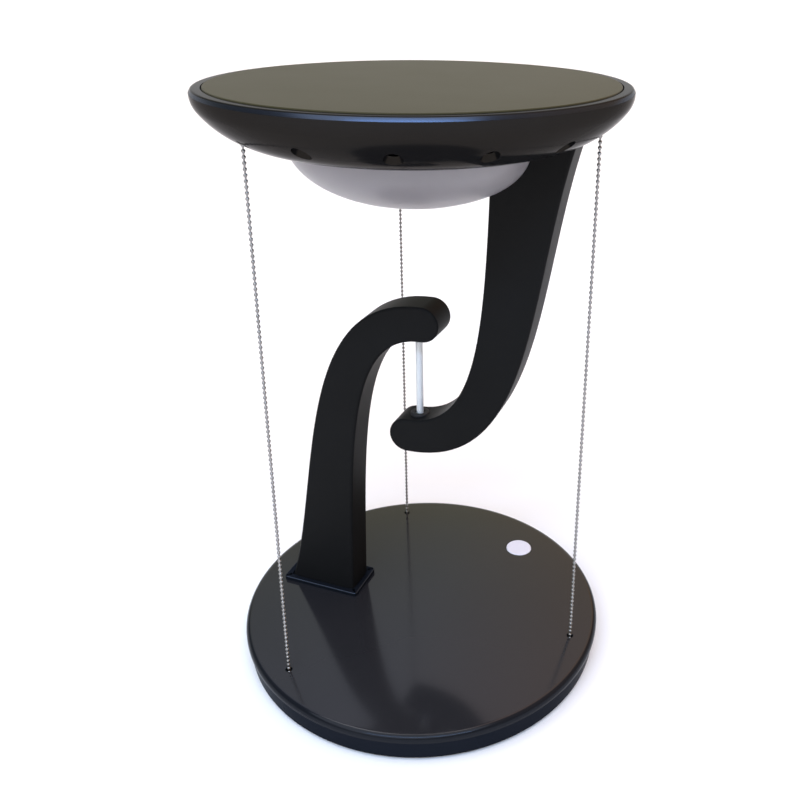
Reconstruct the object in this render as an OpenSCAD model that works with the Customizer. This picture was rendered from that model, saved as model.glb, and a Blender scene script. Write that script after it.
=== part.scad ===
// Desk lamp that seems to float. A weighted base and a lamp head each carry a hooked arm.
// The head hangs from the base by one cord between the two hooks, and three ball chains
// hold it level. The head is also a charging pad, and its dome lights the desk.
// Millimetres, +Z up, origin on the desk at the middle of the base.

/* [Base] */
// Diameter of the base across its cover
base_d = 160; // [150:1:200]
// Height that the feet lift the tray off the desk
foot_h = 1.4; // [1:0.1:4]
// Height of the tray from its underside to its rim
tray_h = 9.1; // [8.8:0.1:16]
// How much the tray's wall leans in from rim to floor
tray_draft = 1.2; // [0.2:0.1:2]
// Thickness of the tray's wall at its rim
tray_wall = 2.4; // [2:0.1:3]
// Thickness of the tray's floor
tray_floor = 2.4; // [2.2:0.1:3]
// Height of the cover's outer edge
cover_edge = 3; // [2.8:0.1:5]
// Radius that rounds the cover's outer edge
cover_round = 2.4; // [1:0.1:2.6]
// Thickness of the cover's top
cover_t = 2.4; // [2:0.1:2.8]
// Diameter of each rubber foot
foot_d = 14; // [8:0.5:16]
// Distance of the feet's middles from the base's edge
foot_in = 16; // [14:0.5:22]
// Thickness of the steel weight in the base
weight_t = 4.2; // [2:0.1:4.6]
// Diameter of the steel weight
weight_d = 112; // [90:1:116]

/* [Switch] */
// Diameter of the push button
button_d = 12.5; // [8:0.1:13]
// Distance of the button's middle from the base's edge
button_in = 19.5; // [18:0.5:26]
// Direction of the button, counted from the head arm's side
button_angle = 60; // [56:1:64]
// Travel of the button
button_travel = 0.8; // [0.4:0.1:1]
// Height of the button's face above the cover
button_proud = 0.2; // [0:0.1:0.6]

/* [Arms] */
// Thickness of each arm, front to back
arm_w = 15; // [13:0.5:18]
// Radius that softens the arms' long edges
arm_edge = 1.2; // [0.6:0.1:1.2]
// Wall of the hollow arms
arm_wall = 2.4; // [2.2:0.1:3]
// Height of the middle of the cord's gap above the base
base_rise = 114.6; // [108:0.1:124]
// Height of the head's frame above the middle of the cord's gap
head_rise = 105.4; // [100:0.1:114]
// Distance of an arm's outer edge from the edge of the base and the head, at its root
root_edge = 15.4; // [14:0.2:20]
// Width of an arm at its root
root_w = 32.2; // [28:0.2:34]
// Distance from the middle of the gap to a hook's outer edge
hook_out = 33.1; // [31:0.1:36]
// Distance from the middle of the gap to a hook's inner edge
hook_in = 18.1; // [16:0.1:20]
// How far a hook's round end is centred beyond the cord
hook_past = 3.8; // [3:0.1:7]
// Rise of the collar round the base arm's foot
collar_h = 1.8; // [1:0.1:3]
// Width of the collar's rim
collar_rim = 2.6; // [1.5:0.1:3.2]

/* [Cord and chains] */
// Diameter of the cord
cord_d = 3; // [2:0.1:3.2]
// Diameter of a chain's bead
bead_d = 1.5; // [1:0.1:1.8]
// Distance from bead to bead
bead_pitch = 2; // [1.9:0.05:3]
// Diameter of the wire between the beads
link_d = 0.7; // [0.4:0.1:0.9]
// Distance of the chains from the edge of the base and the head
chain_in = 10; // [9:0.5:11]

/* [Head] */
// Diameter of the head
head_d = 160; // [156:1:176]
// Radius of the bowl's long underside curve
bowl_round = 34.5; // [33:0.5:38]
// Radius of the curve that turns the bowl up into its rim
rim_round = 9; // [8:0.5:11]
// Wall of the bowl
bowl_wall = 2.2; // [1.8:0.1:2.6]
// Width of the rim round the charging plate
rim_w = 4.6; // [4.5:0.1:7]
// Thickness of the charging plate
plate_t = 2; // [1.6:0.1:3]
// Diameter of a vent hole
vent_d = 6.2; // [4:0.1:7]
// Places round the bowl for vents and chains together
vent_places = 15; // [9:3:18]
// Distance of the light dome's edge from the head's edge
dome_in = 31.8; // [31:0.1:36]
// Depth of the light dome below the bowl
dome_depth = 24.7; // [18:0.1:32]
// Wall of the light dome
dome_wall = 1.8; // [1.2:0.1:2.4]
// Number of light chips
chip_count = 12; // [6:1:16]

/* [Hidden] */
$fn = 96;

// Clearances
fit = 0.25;
slip = 0.15;
turn_gap = 0.3;
pilot_play = 0.1;
// How far a cut runs past what it cuts, or a boss into what carries it
past = 1;

// Heights of the base
base_r = base_d / 2;
head_r = head_d / 2;
least_r = min(base_r, head_r);
floor_top = foot_h + tray_floor;
rim_z = foot_h + tray_h;
base_top = rim_z + cover_edge;
cover_under = base_top - cover_t;
cover_over = 0.3;
tray_r = base_r - cover_over;
tray_in = tray_r - tray_wall;
tray_chamfer = 0.8;
lip_r = tray_in - fit;
lip_t = 1.5;
lip_h = 2;
foot_sink = 0.6;
foot_soft = 0.5;
foot_ring = base_r - foot_in;
foot_angles = [45, 135, 225, 315];

// Screws, one size throughout
screw_d = 3;
screw_head_d = 5.4;
screw_head_h = 1.2;
screw_hole_d = screw_d + 2 * slip;
screw_pilot_d = screw_d + pilot_play;
boss_d = 8;
boss_in = 14;
boss_ring = base_r - boss_in;
boss_angles = [30, 150, 210, 330];
screw_bite = 5;
screw_spare = 0.6;

// Heights of the arms and the head
mid_z = base_top + base_rise;
frame_z = mid_z + head_rise;
frame_t = 2;
gasket_t = 2.9;
dome_rim_t = 1.5;
bowl_in_z = frame_z - gasket_t - dome_rim_t;
lip_z = bowl_in_z - bowl_wall;

// The bowl's section: a long curve that runs into a tighter one at the rim
blend_angle = 37;
lip_angle = 78;
bowl_step = bowl_round - rim_round;
bowl_cz = lip_z + bowl_round * sin(lip_angle);
rim_cz = bowl_cz - bowl_step * sin(blend_angle);
rim_cr = head_r - rim_round;
bowl_cr = rim_cr - bowl_step * cos(blend_angle);
plate_rise = 2.2;
plate_proud = 0.4;
plate_soft = 0.4;
plate_top = rim_cz + plate_rise;
rim_top = plate_top - plate_proud;
rim_soft = 1.6;
ledge_z = plate_top - plate_t;
plate_gap = 0.5;
ledge_w = 2;
plate_r = head_r - rim_w;
ledge_r = plate_r - ledge_w;
dome_r = head_r - dome_in;
dome_steps = 16;
dome_hole_r = dome_r + turn_gap;
dome_flange = 3.1;
dome_rim_r = dome_r + dome_flange;

// The arms' curves, as the pull of each end on its curve
outer_lean = 0.32;
outer_pull = 54.5;
outer_sweep = 54.6;
inner_lean = 0.03;
inner_pull = 70;
inner_sweep = 31.1;
hook_r = (hook_out - hook_in) / 2;
hook_mid = -(hook_out + hook_in) / 2;
arm_steps = 22;
tip_steps = 6;
edge_steps = 3;
cavity_start = 0.1;
seat_start = 0.09;
lid_start = 0.092;
tip_turn = 78;
lid_t = 1.6;
lid_ledge = 1;
root_inset = 7;
root_solid = 24;
root_out = least_r - root_edge;
root_in = root_out - root_w;
root_mid = (root_out + root_in) / 2;
lead_play = 1;
lead_hole_d = cord_d + lead_play;

// The base arm's tenon, which goes down through the cover to two posts in the tray
tenon_step = 2;
tenon_l = root_out - root_in - 2 * tenon_step;
tenon_w = arm_w - 2 * tenon_step;
post_d = 7;
post_h = 3.2;
tenon_z = floor_top + post_h;
root_screws = [root_in + root_inset, root_out - root_inset];

collar_round = 1.5;

// Grommets and crimps on the cord
grommet_d = 8;
grommet_lip = 1.3;
grommet_neck_d = 6;
cord_bore_d = cord_d + 2 * turn_gap;
crimp_d = 6.4;
crimp_h = 3;
hook_low_z = mid_z - hook_in;
hook_high_z = mid_z + hook_in;
crimp_low_z = hook_low_z - arm_wall - turn_gap - crimp_h;
crimp_high_z = hook_high_z + arm_wall;
cord_tail = 0.4;
cord_end_z = crimp_low_z - cord_tail;

// Chains, their holes and their end stops
chain_ring = least_r - chain_in;
chain_angles = [0, 120, 240];
stop_d = 4.6;
stop_h = 3;
stop_gap = 0.6;
base_hole_play = 1.5;
head_hole_play = 2.5;
stop_over = 1.2;
base_hole_d = bead_d + base_hole_play;
head_hole_d = bead_d + head_hole_play;
head_stop_d = head_hole_d + stop_over;
chain_boss_d = 8;
chain_boss_drop = 7.5;
chain_boss_top = ledge_z - chain_boss_drop;
chain_low_z = cover_under - turn_gap - stop_h;
chain_high_z = chain_boss_top + stop_gap;
bead_count = floor((chain_high_z - cover_under) / bead_pitch);
vent_out = 1;
vent_ring = chain_ring + vent_out;
vent_angles = [for (i = [1:vent_places - 1]) if (i % (vent_places / 3) != 0) 360 * i / vent_places];

// Circuit boards and the spacers under them
board_t = 1.6;
board_lift = 1;
board_z = floor_top + board_lift;
board_room = 2;
spacer_d = 4;
spacer_in = 3;

// Switch stack
button_ring = base_r - button_in;
button_at = button_ring * [cos(button_angle), sin(button_angle)];
button_z = base_top + button_proud;
button_flange_w = 1.3;
button_flange_d = button_d + 2 * button_flange_w;
button_flange_t = 1.1;
button_soft = 0.4;
button_flange_z = cover_under - slip;
switch_w = 6.2;
switch_h = 1.4;
switch_z = board_z + board_t;
switch_floor = 0.1;
plunger_d = 3.2;
plunger_rest = 0.1;
plunger_top = switch_z + switch_h + button_travel + plunger_rest;
plunger_sink = 0.4;
stem_over = 1.2;
switch_board_l = 22;
switch_board_w = 30;

// Power inlet, at the back of the base behind the arm
inlet_w = 9;
inlet_h = 3.2;
inlet_len = 7.4;
inlet_skin = 0.35;
inlet_round = 1.4;
inlet_back = 1;
tongue_t = 0.7;
tongue_w = 6.6;
tongue_in = 1.6;
inlet_x = tray_in + tray_wall / 2;
power_board_w = 17;
power_board_l = tray_in - board_room - root_mid + spacer_d;
power_board_x = power_board_l / 2 + board_room - tray_in;

// Parts inside the head
led_board_gap = 4.4;
led_board_r = dome_r - dome_wall - led_board_gap;
led_board_t = 1.5;
chip_in = 6.4;
chip_ring = root_in - chip_in;
chip_w = 3.5;
chip_h = 0.8;
frame_boss_d = 5.2;
frame_screw_d = 2;
frame_screw_bite = 3;
frame_boss_gap = 0.6;
frame_boss_ring = dome_rim_r + frame_boss_gap + frame_boss_d / 2;
frame_edge = 3.5;
frame_lug = 4.4;
frame_r = max(frame_boss_ring + frame_edge, root_screws[1] + frame_lug);
coil_in_r = 10;
coil_r = 24.5;
coil_t = 2.4;
ferrite_r = 26;
ferrite_t = 1.2;
spacer_h = 2;
charger_back = 32;
charger_front = 5;
charger_board_x = [-charger_back, root_mid + charger_front];
charger_board_w = 40;

// Routes of the cord and the lead inside the arms, from the middle of the gap: across, up
base_route = [[-root_mid, -107], [-root_mid, -93], [-47.5, -82], [-45, -66], [-41.5, -44], [-38, -22],
    [-33, 0], [-27, 12], [-20, 20], [-12, 25.4], [-5, 27.8], [-1.5, 27], [0, 24], [0, 18], [0, 6], [0, -8]];
head_route = [[0, -25.6], [1.4, -27.2], [5, -28], [12, -25.6], [20, -20.2], [27, -12], [33, 0], [38, 22],
    [41.5, 40], [45, 58], [47.5, 74], [root_mid, 84], [root_mid, 98]];

// Points of an arc about c, from angle a to angle b
function arc(c, r, a, b, n = 8) = [for (i = [0:n]) let (d = a + (b - a) * i / n) c + r * [cos(d), sin(d)]];

// A point of a curve with two ends and two pulls, and its direction
function curve(p, t) = pow(1 - t, 3) * p[0] + 3 * pow(1 - t, 2) * t * p[1]
    + 3 * (1 - t) * t * t * p[2] + pow(t, 3) * p[3];
function curve_way(p, t) = pow(1 - t, 2) * (p[1] - p[0]) + 2 * (1 - t) * t * (p[2] - p[1])
    + t * t * (p[3] - p[2]);
function unit(v) = v / norm(v);

// The two edges of an arm whose root is at height v: across from the cord, up from the gap's middle
function outer_edge(v) = [[root_out, v], [root_out - outer_lean * outer_pull, v - outer_pull],
    [outer_sweep, -hook_out], [-hook_past, -hook_out]];
function inner_edge(v) = [[root_in, v], [root_in - inner_lean * inner_pull, v - inner_pull],
    [inner_sweep, -hook_in], [-hook_past, -hook_in]];

// A point of an edge moved into the arm
function inset_point(p, t, d) = curve(p, t) + d * [-unit(curve_way(p, t))[1], unit(curve_way(p, t))[0]];

// Outline of an arm from curve position a to the tip and back, moved in by d
function arm_outline(v, d, a = 0) = concat(
    [for (i = [0:arm_steps]) inset_point(outer_edge(v), a + (1 - a) * i / arm_steps, -d)],
    arc([-hook_past, hook_mid], hook_r - d, 270, 90, 12),
    [for (i = [arm_steps:-1:0]) inset_point(inner_edge(v), a + (1 - a) * i / arm_steps, d)]);

// One section of an arm between its outer point and inner point, with soft corners
function arm_section(o, p, half, e) = let (w = unit(p - o)) [for (k = [0:3], i = [0:edge_steps])
    let (a = 90 * k + 90 * i / edge_steps,
        along = (k == 0 || k == 3 ? norm(p - o) - e : e) + e * cos(a),
        y = (k < 2 ? 1 : -1) * (half - e) + e * sin(a))
    [o[0] + w[0] * along, y, o[1] + w[1] * along]];

// Sections of an arm from its root to the end of its hook
function arm_sections(v) = concat(
    [for (i = [0:arm_steps]) arm_section(curve(outer_edge(v), i / arm_steps),
        curve(inner_edge(v), i / arm_steps), arm_w / 2, arm_edge)],
    [for (i = [1:tip_steps]) let (a = tip_turn * i / tip_steps, c = [-hook_past - hook_r * sin(a), hook_mid])
        arm_section(c - [0, hook_r * cos(a)], c + [0, hook_r * cos(a)], arm_w / 2, arm_edge)],
    let (end = [-hook_past - hook_r, hook_mid], half = [0, arm_edge / 2])
        [arm_section(end - half, end + half, arm_w / 2 - arm_edge / 2, arm_edge / 4)]);

// Skin over a row of closed sections, all with the same number of points
module loft(sections) {
    n = len(sections[0]);
    m = len(sections);
    polyhedron(
        [for (s = sections, p = s) p],
        concat([[for (i = [0:n - 1]) i]],
            [for (j = [0:m - 2], i = [0:n - 1]) each let (k = (i + 1) % n)
                [[j * n + i, (j + 1) * n + k, j * n + k], [j * n + i, (j + 1) * n + i, (j + 1) * n + k]]],
            [[for (i = [n - 1:-1:0]) (m - 1) * n + i]]));
}

// Round tube along a route in the plane of the arms, square to the route at both ends
module tube(route, d, sides = 8) {
    m = len(route);
    loft([for (j = [0:m - 1])
        let (way = unit(route[min(j + 1, m - 1)] - route[max(j - 1, 0)]))
        [for (i = [0:sides - 1])
            [route[j][0] + way[1] * d / 2 * cos(360 * i / sides), d / 2 * sin(360 * i / sides),
            mid_z + route[j][1] - way[0] * d / 2 * cos(360 * i / sides)]]]);
}

// Flat shape in the plane of the arms, from depth a to depth b
module slab(points, a, b) {
    translate([0, b, 0]) rotate([90, 0, 0]) linear_extrude(b - a) polygon(points);
}

// Copies round the middle, and copies along X
module around(angles, r) {
    for (a = angles) rotate([0, 0, a]) translate([r, 0, 0]) children();
}
module along(xs) {
    for (x = xs) translate([x, 0, 0]) children();
}

// Rectangle with round corners, centred
module round_rect(w, h, r) {
    square([w - 2 * r, h], center = true);
    square([w, h - 2 * r], center = true);
    for (x = [-1, 1], y = [-1, 1]) translate([x * (w / 2 - r), y * (h / 2 - r)]) circle(r);
}

// Screw with a flat head, standing on its head with its shank up
module screw(shank, d = screw_d) {
    cylinder(d = d * screw_head_d / screw_d, h = screw_head_h);
    cylinder(d = d, h = screw_head_h + shank);
}

// Circuit board with a spacer near each corner, cut to the outline given
module board(w, h) {
    translate([0, 0, board_z]) linear_extrude(board_t) children();
    for (x = [-1, 1], y = [-1, 1]) translate([x * (w / 2 - spacer_in), y * (h / 2 - spacer_in), floor_top])
        cylinder(d = spacer_d, h = board_lift);
}

// Turns an arm drawn for the head over, to stand on the base
module on_base() {
    translate([0, 0, mid_z]) rotate([0, 180, 0]) children();
}
module on_head() {
    translate([0, 0, mid_z]) children();
}

// Hollow arm, open at its back for the lid, with its cord hole, and a tenon past its root if it has one
module arm_shell(v, tenon = 0) {
    difference() {
        union() {
            loft(arm_sections(v));
            if (tenon > 0) translate([root_mid, 0, v - past]) linear_extrude(tenon + past)
                square([tenon_l, tenon_w], center = true);
        }
        slab(arm_outline(v, arm_wall, cavity_start), -arm_w / 2 + arm_wall, arm_w / 2 + past);
        slab(arm_outline(v, arm_wall - lid_ledge, seat_start), arm_w / 2 - lid_t, arm_w / 2 + past);
        translate([0, 0, -hook_in - arm_wall - past]) cylinder(d = grommet_neck_d, h = arm_wall + 2 * past);
        translate([0, 0, -hook_in]) cylinder(d = grommet_d + 2 * slip, h = grommet_d);
        along(root_screws) translate([0, 0, v + tenon - screw_bite - screw_spare])
            cylinder(d = screw_pilot_d, h = screw_bite + screw_spare + past);
        translate([root_mid, 0, v - root_solid]) cylinder(d = lead_hole_d, h = root_solid + tenon + past);
    }
}
module arm_lid(v) {
    slab(arm_outline(v, arm_wall - lid_ledge + slip, lid_start), arm_w / 2 - lid_t, arm_w / 2);
}

// Room that the head arm needs through the bowl and the dome
module head_arm_slot() {
    on_head() slab(arm_outline(head_rise, -fit), -arm_w / 2 - fit, arm_w / 2 + fit);
    translate([root_mid, 0, frame_z - past]) linear_extrude(2 * past)
        square([root_out - root_in + 2 * fit, arm_w + 2 * fit], center = true);
}

// Grommet on a hook, its lip up and its neck down through the hook's wall
module grommet() {
    difference() {
        union() {
            cylinder(d = grommet_d, h = grommet_lip);
            translate([0, 0, -arm_wall]) cylinder(d = grommet_neck_d - 2 * slip, h = arm_wall);
        }
        translate([0, 0, -arm_wall - past]) cylinder(d = cord_bore_d, h = arm_wall + grommet_lip + 2 * past);
    }
}

// Ball chain: beads on a wire, with a stop at each end
module ball_chain() {
    rotate_extrude() intersection() {
        union() {
            translate([0, chain_low_z]) square([link_d / 2, chain_high_z - chain_low_z + stop_h]);
            for (i = [0:bead_count - 1])
                translate([0, cover_under + bead_pitch / 2 + i * bead_pitch]) circle(d = bead_d);
            translate([0, chain_low_z]) square([stop_d / 2, stop_h]);
            translate([0, chain_high_z]) square([head_stop_d / 2, stop_h]);
        }
        translate([0, chain_low_z]) square([chain_ring, chain_high_z]);
    }
}

module base_tray() {
    color("#26272a") difference() {
        union() {
            rotate_extrude() polygon([[0, foot_h], [tray_r - tray_draft - tray_chamfer, foot_h],
                [tray_r - tray_draft, foot_h + tray_chamfer], [tray_r, rim_z], [tray_in, rim_z],
                [tray_in, floor_top], [0, floor_top]]);
            along(-root_screws) translate([0, 0, floor_top]) cylinder(d = post_d, h = post_h);
        }
        around(foot_angles, foot_ring) cylinder(d = foot_d + 2 * slip, h = foot_h + foot_sink);
        around(boss_angles, boss_ring) screw_seat(floor_top);
        along(-root_screws) screw_seat(tenon_z);
        translate([-base_r, 0, switch_z + inlet_h / 2]) rotate([0, 90, 0])
            linear_extrude(base_r - tray_in + tray_wall)
            round_rect(inlet_h + 2 * slip, inlet_w + 2 * slip, inlet_round + slip);
    }
}
module screw_seat(top) {
    cylinder(d = screw_head_d + 2 * slip, h = foot_h + screw_head_h + slip);
    cylinder(d = screw_hole_d, h = top + past);
}

module base_cover() {
    color("#101114") difference() {
        union() {
            rotate_extrude() polygon(concat([[0, cover_under], [lip_r - lip_t, cover_under],
                [lip_r - lip_t, rim_z - lip_h], [lip_r, rim_z - lip_h], [lip_r, rim_z], [base_r, rim_z]],
                arc([base_r - cover_round, base_top - cover_round], cover_round, 0, 90), [[0, base_top]]));
            around(boss_angles, boss_ring) translate([0, 0, floor_top])
                cylinder(d = boss_d, h = base_top - cover_t / 2 - floor_top);
        }
        around(boss_angles, boss_ring) cylinder(d = screw_pilot_d, h = floor_top + screw_bite + screw_spare);
        around(chain_angles, chain_ring) cylinder(d = base_hole_d, h = base_top + past);
        translate(button_at) cylinder(d = button_d + 2 * slip, h = base_top + past);
        translate([-root_mid, 0, 0]) linear_extrude(base_top + past)
            square([tenon_l + 2 * fit, tenon_w + 2 * fit], center = true);
        translate([-tray_in, 0, rim_z - lip_h - past]) linear_extrude(lip_h + past)
            square([2 * (lip_t + lip_h), inlet_w + 2 * lip_t], center = true);
    }
}

module base_weight() {
    color("#7d7f82") translate([0, 0, floor_top]) linear_extrude(weight_t) difference() {
        circle(d = weight_d);
        translate([-weight_d / 2, 0])
            square([weight_d - 2 * root_in + 4 * board_room, power_board_w + 2 * board_room], center = true);
        rotate(button_angle) translate([button_ring, 0])
            square([switch_board_l + 2 * board_room, switch_board_w + 2 * board_room], center = true);
    }
}

module base_feet() {
    color("#1b1b1b") around(foot_angles, foot_ring) rotate_extrude()
        polygon([[0, 0], [foot_d / 2 - foot_soft, 0], [foot_d / 2, foot_soft],
            [foot_d / 2, foot_h + foot_sink], [0, foot_h + foot_sink]]);
}

module tray_screws() {
    color("silver") around(boss_angles, boss_ring) translate([0, 0, foot_h + slip])
        screw(tray_floor - screw_head_h - slip + screw_bite);
}

module power_board() {
    color("#1d5a36") translate([power_board_x, 0, 0]) board(power_board_l, power_board_w) difference() {
        square([power_board_l, power_board_w], center = true);
        translate([-root_screws[1] - power_board_x, 0]) circle(d = post_d + 2 * fit);
    }
}

module power_inlet() {
    color("silver") translate([-inlet_x, 0, switch_z + inlet_h / 2]) rotate([0, 90, 0]) {
        linear_extrude(inlet_len) difference() {
            round_rect(inlet_h, inlet_w, inlet_round);
            round_rect(inlet_h - 2 * inlet_skin, inlet_w - 2 * inlet_skin, inlet_round - inlet_skin);
        }
        translate([0, 0, inlet_len - inlet_back]) linear_extrude(inlet_back)
            round_rect(inlet_h, inlet_w, inlet_round);
        translate([0, 0, tongue_in]) linear_extrude(inlet_len - tongue_in)
            square([tongue_t, tongue_w], center = true);
    }
}

module switch_board() {
    color("#1d5a36") rotate([0, 0, button_angle]) translate([button_ring, 0, 0])
        board(switch_board_l, switch_board_w) square([switch_board_l, switch_board_w], center = true);
}

module switch_body() {
    color("#303236") rotate([0, 0, button_angle]) translate([button_ring, 0, switch_z]) difference() {
        linear_extrude(switch_h) square(switch_w, center = true);
        translate([0, 0, switch_floor]) cylinder(d = plunger_d + 2 * turn_gap, h = switch_h);
    }
}

module switch_plunger() {
    plunger_low = switch_z + switch_h - plunger_sink;
    color("#e6dfcf") translate([button_at[0], button_at[1], plunger_low])
        cylinder(d = plunger_d, h = plunger_top - plunger_low);
}

module switch_button() {
    color("#e4e0ea") translate([button_at[0], button_at[1], 0]) {
        translate([0, 0, plunger_top]) cylinder(d = plunger_d + stem_over, h = button_flange_z - plunger_top);
        translate([0, 0, button_flange_z - button_flange_t])
            cylinder(d = button_flange_d, h = button_flange_t);
        translate([0, 0, button_flange_z]) rotate_extrude() polygon([[0, 0], [button_d / 2, 0],
            [button_d / 2, button_z - button_flange_z - button_soft],
            [button_d / 2 - button_soft, button_z - button_flange_z], [0, button_z - button_flange_z]]);
    }
}

module arm_collar() {
    color("#17181b") translate([-root_mid, 0, base_top]) linear_extrude(collar_h) difference() {
        round_rect(root_out - root_in + 2 * (fit + collar_rim), arm_w + 2 * (fit + collar_rim), collar_round);
        square([root_out - root_in + 2 * fit, arm_w + 2 * fit], center = true);
    }
}

module base_arm() {
    color("#1c1e20") on_base() arm_shell(base_rise, base_top - tenon_z);
}
module base_arm_lid() {
    color("#1c1e20") on_base() arm_lid(base_rise);
}
module base_arm_screws() {
    color("silver") along(-root_screws) translate([0, 0, foot_h + slip])
        screw(tenon_z - foot_h - screw_head_h - slip + screw_bite);
}

module upper_grommet() {
    color("#0e0e10") translate([0, 0, hook_high_z]) mirror([0, 0, 1]) grommet();
}
module lower_grommet() {
    color("#0e0e10") translate([0, 0, hook_low_z]) grommet();
}

module cord() {
    color("#cfd4dd") tube(concat([[-root_mid, switch_z - mid_z]], base_route,
        [[0, cord_end_z - mid_z]]), cord_d);
}
module head_lead() {
    color("#cfd4dd") tube(concat([[0, cord_end_z - mid_z]], head_route,
        [[root_mid, head_rise + frame_t + spacer_h]]), cord_d);
}
module cord_crimps() {
    color("#b9bcc2") for (z = [crimp_low_z, crimp_high_z]) translate([0, 0, z]) difference() {
        cylinder(d = crimp_d, h = crimp_h);
        translate([0, 0, -past]) cylinder(d = cord_d + pilot_play, h = crimp_h + 2 * past);
    }
}

module chain_right() {
    color("silver") around([chain_angles[0]], chain_ring) ball_chain();
}
module chain_back() {
    color("silver") around([chain_angles[1]], chain_ring) ball_chain();
}
module chain_left() {
    color("silver") around([chain_angles[2]], chain_ring) ball_chain();
}

// The bowl's outer curve, from its lip up to its widest point
function bowl_curve() = concat(arc([bowl_cr, bowl_cz], bowl_round, -lip_angle, -blend_angle, 12),
    arc([rim_cr, rim_cz], rim_round, -blend_angle, 0));

module head_bowl() {
    inner_round = bowl_round - bowl_wall;
    inner_top = -acos((ledge_r - bowl_cr) / inner_round);
    inner_low = -asin((bowl_cz - bowl_in_z) / inner_round);
    color("#202226") difference() {
        union() {
            rotate_extrude() polygon(concat([[dome_hole_r, lip_z]], bowl_curve(),
                arc([head_r - rim_soft, rim_top - rim_soft], rim_soft, 0, 90),
                [[plate_r + plate_gap, rim_top], [plate_r + plate_gap, ledge_z], [ledge_r, ledge_z]],
                arc([bowl_cr, bowl_cz], inner_round, inner_top, inner_low, 12), [[dome_hole_r, bowl_in_z]]));
            intersection() {
                around(chain_angles, chain_ring) translate([0, 0, lip_z])
                    cylinder(d = chain_boss_d, h = chain_boss_top - lip_z);
                rotate_extrude() polygon(concat([[0, lip_z]], bowl_curve(), [[0, rim_cz]]));
            }
            around(foot_angles, frame_boss_ring) translate([0, 0, bowl_in_z - bowl_wall / 2])
                cylinder(d = frame_boss_d, h = frame_z - bowl_in_z + bowl_wall / 2);
        }
        around(chain_angles, chain_ring) translate([0, 0, lip_z])
            cylinder(d = head_hole_d, h = ledge_z - lip_z);
        around(vent_angles, vent_ring) translate([0, 0, lip_z])
            cylinder(d = vent_d, h = chain_boss_top - lip_z);
        around(foot_angles, frame_boss_ring) translate([0, 0, frame_z - frame_screw_bite - screw_spare])
            cylinder(d = frame_screw_d + pilot_play, h = frame_screw_bite + screw_spare + past);
        head_arm_slot();
    }
}

module charge_plate() {
    color("#2a2b29") translate([0, 0, ledge_z]) rotate_extrude() polygon([[0, 0], [plate_r, 0],
        [plate_r, plate_t - plate_soft], [plate_r - plate_soft, plate_t], [0, plate_t]]);
}
module charge_coil() {
    color("#b5713a") translate([0, 0, ledge_z - coil_t]) difference() {
        cylinder(r = coil_r, h = coil_t);
        translate([0, 0, -past]) cylinder(r = coil_in_r, h = coil_t + 2 * past);
    }
}
module coil_shield() {
    color("#3a3a3c") translate([0, 0, ledge_z - coil_t - ferrite_t]) cylinder(r = ferrite_r, h = ferrite_t);
}
module charger_board() {
    color("#1d5a36") translate([charger_board_x[0], -charger_board_w / 2, frame_z + frame_t + spacer_h])
        cube([charger_board_x[1] - charger_board_x[0], charger_board_w, board_t]);
}

module head_frame() {
    color("#a9adb2") difference() {
        union() {
            translate([0, 0, frame_z]) cylinder(r = frame_r, h = frame_t);
            for (x = [charger_board_x[0] + spacer_in, charger_board_x[1] - spacer_in], y = [-1, 1])
                translate([x, y * (charger_board_w / 2 - spacer_in), frame_z])
                    cylinder(d = spacer_d, h = frame_t + spacer_h);
        }
        around(foot_angles, frame_boss_ring) translate([0, 0, frame_z - past])
            cylinder(d = frame_screw_d + 2 * slip, h = frame_t + 2 * past);
        along(root_screws) translate([0, 0, frame_z - past])
            cylinder(d = screw_hole_d, h = frame_t + 2 * past);
        translate([root_mid, 0, frame_z - past]) cylinder(d = lead_hole_d, h = frame_t + 2 * past);
    }
}
module frame_screws() {
    color("silver") around(foot_angles, frame_boss_ring) translate([0, 0, frame_z + frame_t + screw_head_h])
        mirror([0, 0, 1]) screw(frame_t + frame_screw_bite, frame_screw_d);
}
module led_board() {
    color("#eceae2") difference() {
        translate([0, 0, frame_z - led_board_t]) cylinder(r = led_board_r, h = led_board_t);
        head_arm_slot();
    }
}
module led_chips() {
    color("#f2d35c") around([for (i = [0:chip_count - 1]) 360 * (i + 0.5) / chip_count], chip_ring)
        translate([-chip_w / 2, -chip_w / 2, frame_z - led_board_t - chip_h]) cube([chip_w, chip_w, chip_h]);
}

// Half an oval from its lowest point out to its widest
function oval(a, b) = [for (i = [0:dome_steps]) let (t = 90 * i / dome_steps)
    [a * sin(t), lip_z - b * cos(t)]];

module light_dome() {
    color("#d9d6de") difference() {
        rotate_extrude() polygon(concat(oval(dome_r, dome_depth), [[dome_r, bowl_in_z],
            [dome_rim_r, bowl_in_z], [dome_rim_r, bowl_in_z + dome_rim_t],
            [dome_r - dome_wall, bowl_in_z + dome_rim_t]],
            [for (i = [dome_steps:-1:0]) oval(dome_r - dome_wall, dome_depth - dome_wall)[i]]));
        head_arm_slot();
    }
}
module dome_gasket() {
    color("#1b1b1b") difference() {
        translate([0, 0, frame_z - gasket_t]) linear_extrude(gasket_t) difference() {
            circle(dome_rim_r);
            circle(dome_r - dome_wall);
        }
        head_arm_slot();
    }
}

module head_arm() {
    color("#1c1e20") on_head() arm_shell(head_rise);
}
module head_arm_lid() {
    color("#1c1e20") on_head() arm_lid(head_rise);
}
module head_arm_screws() {
    color("silver") along(root_screws) translate([0, 0, frame_z + frame_t + screw_head_h]) mirror([0, 0, 1])
        screw(frame_t + screw_bite);
}

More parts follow.
